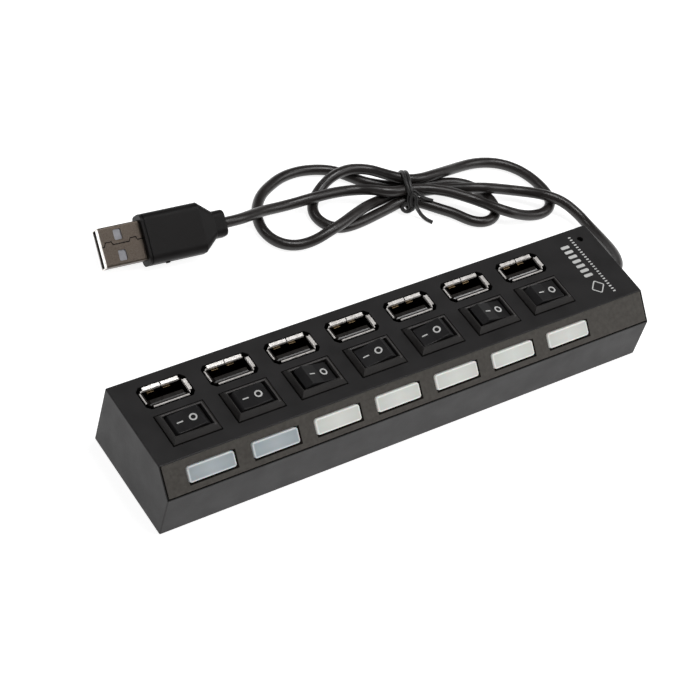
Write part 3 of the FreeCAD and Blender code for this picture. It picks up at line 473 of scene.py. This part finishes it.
# Control points in millimetres, from the bushing to the plug.
CORD = [
    (84, 5, 10), (89.8, 5, 10), (94.9, 7.9, 9.4), (98.3, 13.6, 7.6), (100.7, 21.2, 5), (102, 29.2, 3),
    # over the big right-hand loop's end and across to the tie
    (101.4, 35.6, 3.5), (98.6, 40.6, 5.1), (94.8, 44.6, 5.4), (92, 47.7, 4.6), (88.2, 50.8, 3.9),
    (83.7, 53.1, 4.1), (78.1, 54.5, 5.4), (73.5, 56.6, 5.1), (69.3, 59, 4.2), (64.9, 61.3, 3.3),
    (58.9, 63.1, 2.8), (54.1, 64.5, 2.8), (49.5, 65.4, 2.6),
    # big left-hand loop
    (43.4, 64.9, 2.4), (36.9, 63, 4.2), (30.5, 60.7, 5.2), (24.9, 58.8, 5.2), (19.7, 57.8, 4.7),
    (15.2, 57.3, 3.4), (11.3, 57.9, 2.1), (7.6, 58.9, 1.7), (4.5, 61, 1.7), (2.5, 64.1, 1.7),
    (1.9, 68.6, 1.7), (3.3, 73.6, 1.7), (5.8, 77.5, 1.7), (9.4, 81.1, 1.7), (14, 83.5, 1.7),
    (19.8, 85.6, 1.7), (25.8, 85.9, 1.7), (30.9, 84.9, 1.7), (35.6, 83, 1.7), (38.4, 80.8, 1.7),
    (41, 77.7, 1.7), (43.6, 74.5, 1.7), (46.3, 72.4, 1.7), (50.2, 69.6, 2), (54, 68.2, 2.7),
    # small right-hand loop
    (59.3, 66.6, 2.3), (64.6, 65.5, 1.7), (69.5, 64.2, 1.7), (73.2, 62.6, 1.7), (76.3, 60, 1.7),
    (78.3, 56.2, 1.7), (79, 51.9, 1.7), (77.9, 47.8, 1.7), (75, 45.2, 1.7), (71, 44.8, 1.7),
    (67.2, 46.9, 1.7), (63.9, 51.9, 1.7), (60.9, 54.7, 1.8), (56.2, 59, 2.2), (52.8, 61.2, 2.8),
    # small left-hand loop
    (48.7, 61.8, 2.3), (45, 61.4, 1.7), (39.8, 60.6, 1.7), (34.5, 59.8, 1.7), (29.6, 59.4, 1.7),
    (25.5, 59.8, 1.7), (22.1, 62.1, 1.7), (20.6, 66.2, 1.7), (21.6, 70.3, 1.7), (24.4, 73.6, 1.8),
    (27.9, 75.9, 2.6), (31.3, 77.2, 4.1), (34.9, 77.8, 5.1), (39, 77.9, 5.4), (42.6, 77, 5.4),
    (46.2, 75.2, 5.3), (48.4, 72.6, 5.6), (50.9, 69.5, 6.1), (54.8, 66.4, 6.1),
    # big right-hand loop
    (58.8, 65.6, 6), (61.2, 65.7, 5.7), (68, 66.2, 4.9), (75.9, 67.8, 2.8), (82.6, 68.2, 2),
    (88.1, 67, 1.7), (92.6, 64.4, 1.7), (96, 60.5, 1.7), (97.9, 56.1, 1.7), (98.7, 51.8, 1.7),
    (98.7, 47.2, 1.7), (96.7, 43, 1.7), (92.7, 41, 1.7), (88.1, 41.1, 2), (83.1, 41.8, 3.4),
    (78.3, 43.3, 5.2), (75.1, 46.6, 5.3), (72.6, 50.8, 4.7), (69, 54.5, 4.9), (64.9, 57.6, 5.5),
    (60.4, 60, 5.9), (56.3, 61.9, 5.9), (52, 63.2, 5.9),
    # over both left-hand loops to the plug
    (45.9, 63.7, 6.3), (41.6, 66.9, 6), (37.6, 69.5, 4.9), (32.8, 70.8, 4.8), (27.2, 71.2, 5.2),
    (21.5, 71.4, 5.3), (16.4, 72, 4.6), (10.9, 72.4, 4.4), (3.8, 72.2, 5.4), (-1.6, 70.9, 6.8),
    (-7, 69.9, 7.8), (-12, 70.5, 7.7),
]
CORD_RADIUS = 1.7


def thread(name, points, radius, closed=False):
    """A round cord along a NURBS line through listed points, given in millimetres."""
    curve = bpy.data.curves.new(name, "CURVE")
    curve.dimensions = "3D"
    curve.resolution_u = 8
    curve.bevel_depth = radius * MM
    curve.bevel_resolution = 5
    curve.use_fill_caps = not closed
    spline = curve.splines.new("NURBS")
    spline.points.add(len(points) - 1)
    for control, point in zip(spline.points, points):
        control.co = (*(c * MM for c in point), 1)
    spline.order_u = 3
    if closed:
        spline.use_cyclic_u = True
    else:
        spline.use_endpoint_u = True
    piece = bpy.data.objects.new(name, curve)
    bpy.context.scene.collection.objects.link(piece)
    return piece


cord = thread("cord", CORD, CORD_RADIUS)
cord.data.materials.append(cord_rubber)
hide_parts("cord_lead", "cord_hank", "cord_plug_lead")
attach(cord, "hub")


# --- tie -------------------------------------------------------------------------------------

# The tie's middle on the table, in millimetres, and the directions along and across the bundle there.
TIE_CENTRE = (54.2, 64.7)
TIE_ALONG = (0.921, -0.391)
TIE_ACROSS = (0.391, 0.921)
TIE_RADIUS = 0.62
LONG_TAIL_RADIUS = 0.45
# along, across, height and half the spacing of the tie's two turns, from under the bundle round by the back
WRAP = [(-0.3, -2.5, 0.62, 0.6), (-1.2, 1.5, 0.62, 0.6), (-1.5, 4.4, 0.75, 0.6), (-1.6, 5.8, 2.4, 0.6),
        (-1.7, 5.5, 4.9, 0.6), (-1.7, 4.3, 7.3, 0.6), (-1.7, 1.9, 8.7, 0.6), (-1.7, -1.4, 8.7, 0.55),
        (-1.4, -3.9, 7.6, 0.4), (-0.4, -5.1, 5.6, 0.35), (0.6, -6.2, 3.4, 0.35), (0.4, -6.4, 0.9, 0.45),
        (0.1, -5.2, 0.62, 0.6)]
# The knot's middle, and the directions to its right, up its face and out from it.
KNOT = (52.34, 59.9, 5.0)
KNOT_RIGHT = (0.82, -0.54, 0.21)
KNOT_UP = (0.29, 0.70, 0.65)
KNOT_OUT = (-0.50, -0.47, 0.73)


def at_tie(along, across, height):
    """A place near the tie: millimetres along the bundle, across it and up from the table."""
    return (TIE_CENTRE[0] + along * TIE_ALONG[0] + across * TIE_ACROSS[0],
            TIE_CENTRE[1] + along * TIE_ALONG[1] + across * TIE_ACROSS[1], height)


def at_knot(a, b, c):
    """A place near the knot: millimetres to its right, up its face and out from it."""
    return tuple(k + a * x + b * y + c * z
                 for k, x, y, z in zip(KNOT, KNOT_RIGHT, KNOT_UP, KNOT_OUT))


tie_paint = moulded("tie_plastic", (0.012, 0.0115, 0.0115), (0.026, 0.0245, 0.024), 0.42, grain=4200,
                    relief=0.00005, specular=0.5)
# the three that come out of the knot, in places near it; the short tail then hangs down to the table
LONG_TAIL = [(-0.9, -2.8, 0.3), (-1.5, -1.4, 0.7), (-1.5, 0.4, 1.0), (-0.9, 1.9, 1.1), (0.3, 2.5, 1.0),
             (1.4, 1.6, 0.7), (2.4, 0.8, 0.2), (3.9, 0.1, -0.9), (5.4, -0.3, -1.7), (6.3, -0.5, -2.1)]
SHORT_TAIL = [(-0.3, -2.6, 0.6), (-0.7, -0.9, 1.2), (-0.4, 0.7, 1.8), (0.4, 1.2, 2.0), (1.1, 0.3, 1.8),
              (0.9, -1.2, 1.5), (1.1, -2.7, 1.0)]
SHORT_TAIL_END = [(52.6, 56.8, 3.0), (53.4, 55.5, 1.6), (54.3, 54.0, 0.8), (55.1, 52.8, 0.62),
                  (55.8, 51.8, 0.62)]
LOOP = [(-1.0, -0.9, 0.4), (-1.7, -1.7, 0.3), (-3.0, -2.1, 0.1), (-3.5, -3.3, 0.0), (-2.2, -4.3, -0.5),
        (-0.7, -4.0, -0.4), (0.2, -2.7, 0.2), (0.4, -1.2, 0.6)]

strands = []
for name, side in (("left", -1), ("right", 1)):
    turn = [at_tie(along + side * spread, across, height) for along, across, height, spread in WRAP]
    strands.append(thread("tie_wrap_%s" % name, turn, TIE_RADIUS, closed=True))
strands.append(thread("tie_tail_long", [at_knot(*p) for p in LONG_TAIL], LONG_TAIL_RADIUS))
strands.append(thread("tie_tail_short", [at_knot(*p) for p in SHORT_TAIL] + SHORT_TAIL_END, TIE_RADIUS))
strands.append(thread("tie_loop", [at_knot(*p) for p in LOOP], TIE_RADIUS))
for strand in strands:
    strand.data.materials.append(tie_paint)
    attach(strand, "hub")
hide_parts("cord_tie")


# --- marks -----------------------------------------------------------------------------------

def flat_piece(name, shapes, thickness, place):
    """Thin printed shapes, each given as one closed ring of points, or as an outer and an inner ring."""
    mesh = bmesh.new()
    for rings in shapes:
        lower = [[mesh.verts.new((*p, 0)) for p in ring] for ring in rings]
        upper = [[mesh.verts.new((*p, thickness)) for p in ring] for ring in rings]
        for low, high in zip(lower, upper):
            for i in range(len(low)):
                j = (i + 1) % len(low)
                mesh.faces.new((low[i], low[j], high[j], high[i]))
        for level in (lower, upper):
            if len(level) == 1:
                mesh.faces.new(level[0])
            else:
                for i in range(len(level[0])):
                    j = (i + 1) % len(level[0])
                    mesh.faces.new((level[0][i], level[0][j], level[1][j], level[1][i]))
    bmesh.ops.recalc_face_normals(mesh, faces=mesh.faces)
    data = bpy.data.meshes.new(name)
    mesh.to_mesh(data)
    mesh.free()
    piece = bpy.data.objects.new(name, data)
    bpy.context.scene.collection.objects.link(piece)
    piece.matrix_world = place
    return piece


def circle(x, y, radius, steps=40):
    return [(x + radius * math.cos(2 * math.pi * i / steps), y + radius * math.sin(2 * math.pi * i / steps))
            for i in range(steps)]


def rounded(x, y, length, width, corner):
    """A rectangle with rounded corners."""
    points = []
    for quarter, (sx, sy) in enumerate(((1, 1), (-1, 1), (-1, -1), (1, -1))):
        for step in range(5):
            angle = (quarter + step / 4) * math.pi / 2
            points.append((x + sx * (length / 2 - corner) + corner * math.cos(angle),
                           y + sy * (width / 2 - corner) + corner * math.sin(angle)))
    return points


print_paint = moulded("print_paint", (0.55, 0.55, 0.54), (0.68, 0.68, 0.67), 0.5, grain=5000, relief=0.000008)

TILTS = (-6, -2.5, 13, -13, -13, 13, 7)     # of the rockers at rest, in degrees
BAR = [(rounded(0, 0, 1.9 * MM, 0.38 * MM, 0.08 * MM),)]
RING = [(circle(0, 0, 1.14 * MM), circle(0, 0, 0.7 * MM))]
# on a rocker, in its own axes: the marks stand on the two sloping halves of its top
MARKS = (("on", BAR, -2.2 * MM, 4), ("off", RING, 1.9 * MM, -4))
MARK_HEIGHT = 4.48 * MM
MARK_THICKNESS = 0.05 * MM
for column, tilt in zip(COLUMNS, TILTS):
    axis_place = (FIRST_COLUMN + PITCH * (column - 1) + SWITCH_SHIFT, SWITCH_Y, ROCKER_AXIS_Z)
    for mark, shapes, along, slope in MARKS:
        place = (Matrix.Translation(axis_place) @ Matrix.Rotation(math.radians(tilt), 4, "Y")
                 @ Matrix.Translation((along, 0, MARK_HEIGHT)) @ Matrix.Rotation(math.radians(slope), 4, "Y"))
        piece = flat_piece("mark_%s_%d" % (mark, column), shapes, MARK_THICKNESS, place)
        piece.data.materials.append(print_paint)
        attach(piece, "rocker_%d" % column)

# a plain printed badge at the cord end of the top: a lozenge frame, seven bars and a row of fine dashes
BADGE_THICKNESS = 0.02 * MM
LOZENGE_PLACE = (71.8, -4.8)                           # these and the rest are in millimetres
LOZENGE_RINGS = ((3.4, 4.0, 0.5), (2.7, 3.3, 0.3))     # length, width and corner radius
BARS, BAR_PLACE, BAR_STEP, BAR_SIZE = 7, (71.9, 0.2), 2.0, (3.1, 1.1, 0.4)
DASHES, DASH_PLACE, DASH_STEP, DASH_SIZE = 23, (75.7, -8.0), 1.05, (0.95, 0.45, 0.15)


def row(count, place, step, size):
    return [(rounded(place[0], place[1] + step * i, *size),) for i in range(count)]


lozenge = [[(LOZENGE_PLACE[0] + COS_45 * (x + y), LOZENGE_PLACE[1] + COS_45 * (y - x))
            for x, y in rounded(0, 0, *ring)] for ring in LOZENGE_RINGS]
shapes = [lozenge] + row(BARS, BAR_PLACE, BAR_STEP, BAR_SIZE) + row(DASHES, DASH_PLACE, DASH_STEP, DASH_SIZE)
badge = [[[(x * MM, y * MM) for x, y in ring] for ring in rings] for rings in shapes]
badge_place = Matrix.Translation((0, 0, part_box("top_bars")[1][2]))
print_badge = flat_piece("print_badge", badge, BADGE_THICKNESS, badge_place)
print_badge.data.materials.append(print_paint)
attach(print_badge, "hub")


# --- light and floor -------------------------------------------------------------------------

bpy.context.scene.view_settings.view_transform = "Standard"

floor_data = bpy.data.meshes.new("floor")
floor_data.from_pydata([(-3, -3, 0), (3, -3, 0), (3, 3, 0), (-3, 3, 0)], [], [(0, 1, 2, 3)])
floor = bpy.data.objects.new("floor", floor_data)
bpy.context.scene.collection.objects.link(floor)
floor_paint = Paint("floor")
floor_paint.values(Base_Color=(0.6, 0.6, 0.6, 1), Roughness=0.9, Specular_IOR_Level=0.0,
                   Emission_Color=(1, 1, 1, 1), Emission_Strength=0.86)
floor_data.materials.append(floor_paint.material)

world = bpy.data.worlds.new("world")
bpy.context.scene.world = world
world.use_nodes = True
nodes, links = world.node_tree.nodes, world.node_tree.links
direction = nodes.new("ShaderNodeTexCoord")
split = nodes.new("ShaderNodeSeparateXYZ")
sky = nodes.new("ShaderNodeValToRGB")
links.new(direction.outputs["Generated"], split.inputs["Vector"])
links.new(split.outputs["Z"], sky.inputs["Fac"])
sky.color_ramp.elements[0].position = 0.12
sky.color_ramp.elements[0].color = (0.8, 0.8, 0.8, 1)
sky.color_ramp.elements[1].position = 0.55
sky.color_ramp.elements[1].color = (0.09, 0.09, 0.092, 1)
links.new(sky.outputs["Color"], nodes["Background"].inputs["Color"])
nodes["Background"].inputs["Strength"].default_value = 1.0


def lamp(name, place, target, width, height, watts):
    data = bpy.data.lights.new(name, "AREA")
    data.shape = "RECTANGLE"
    data.size, data.size_y, data.energy = width, height, watts
    thing = bpy.data.objects.new(name, data)
    bpy.context.scene.collection.objects.link(thing)
    place, target = Vector(place), Vector(target)
    facing = (place - target).to_track_quat("Z", "Y").to_matrix().to_4x4()
    thing.matrix_world = Matrix.Translation(place) @ facing


lamp("key", (0.25, -0.05, 1.15), (0.02, 0.03, 0), 0.5, 0.35, 5.5)
lamp("back", (-0.35, 0.6, 0.95), (0.0, 0.01, 0), 0.35, 0.25, 1.0)
lamp("fill", (0.8, -0.5, 0.9), (0.02, 0.03, 0), 0.7, 0.5, 4)
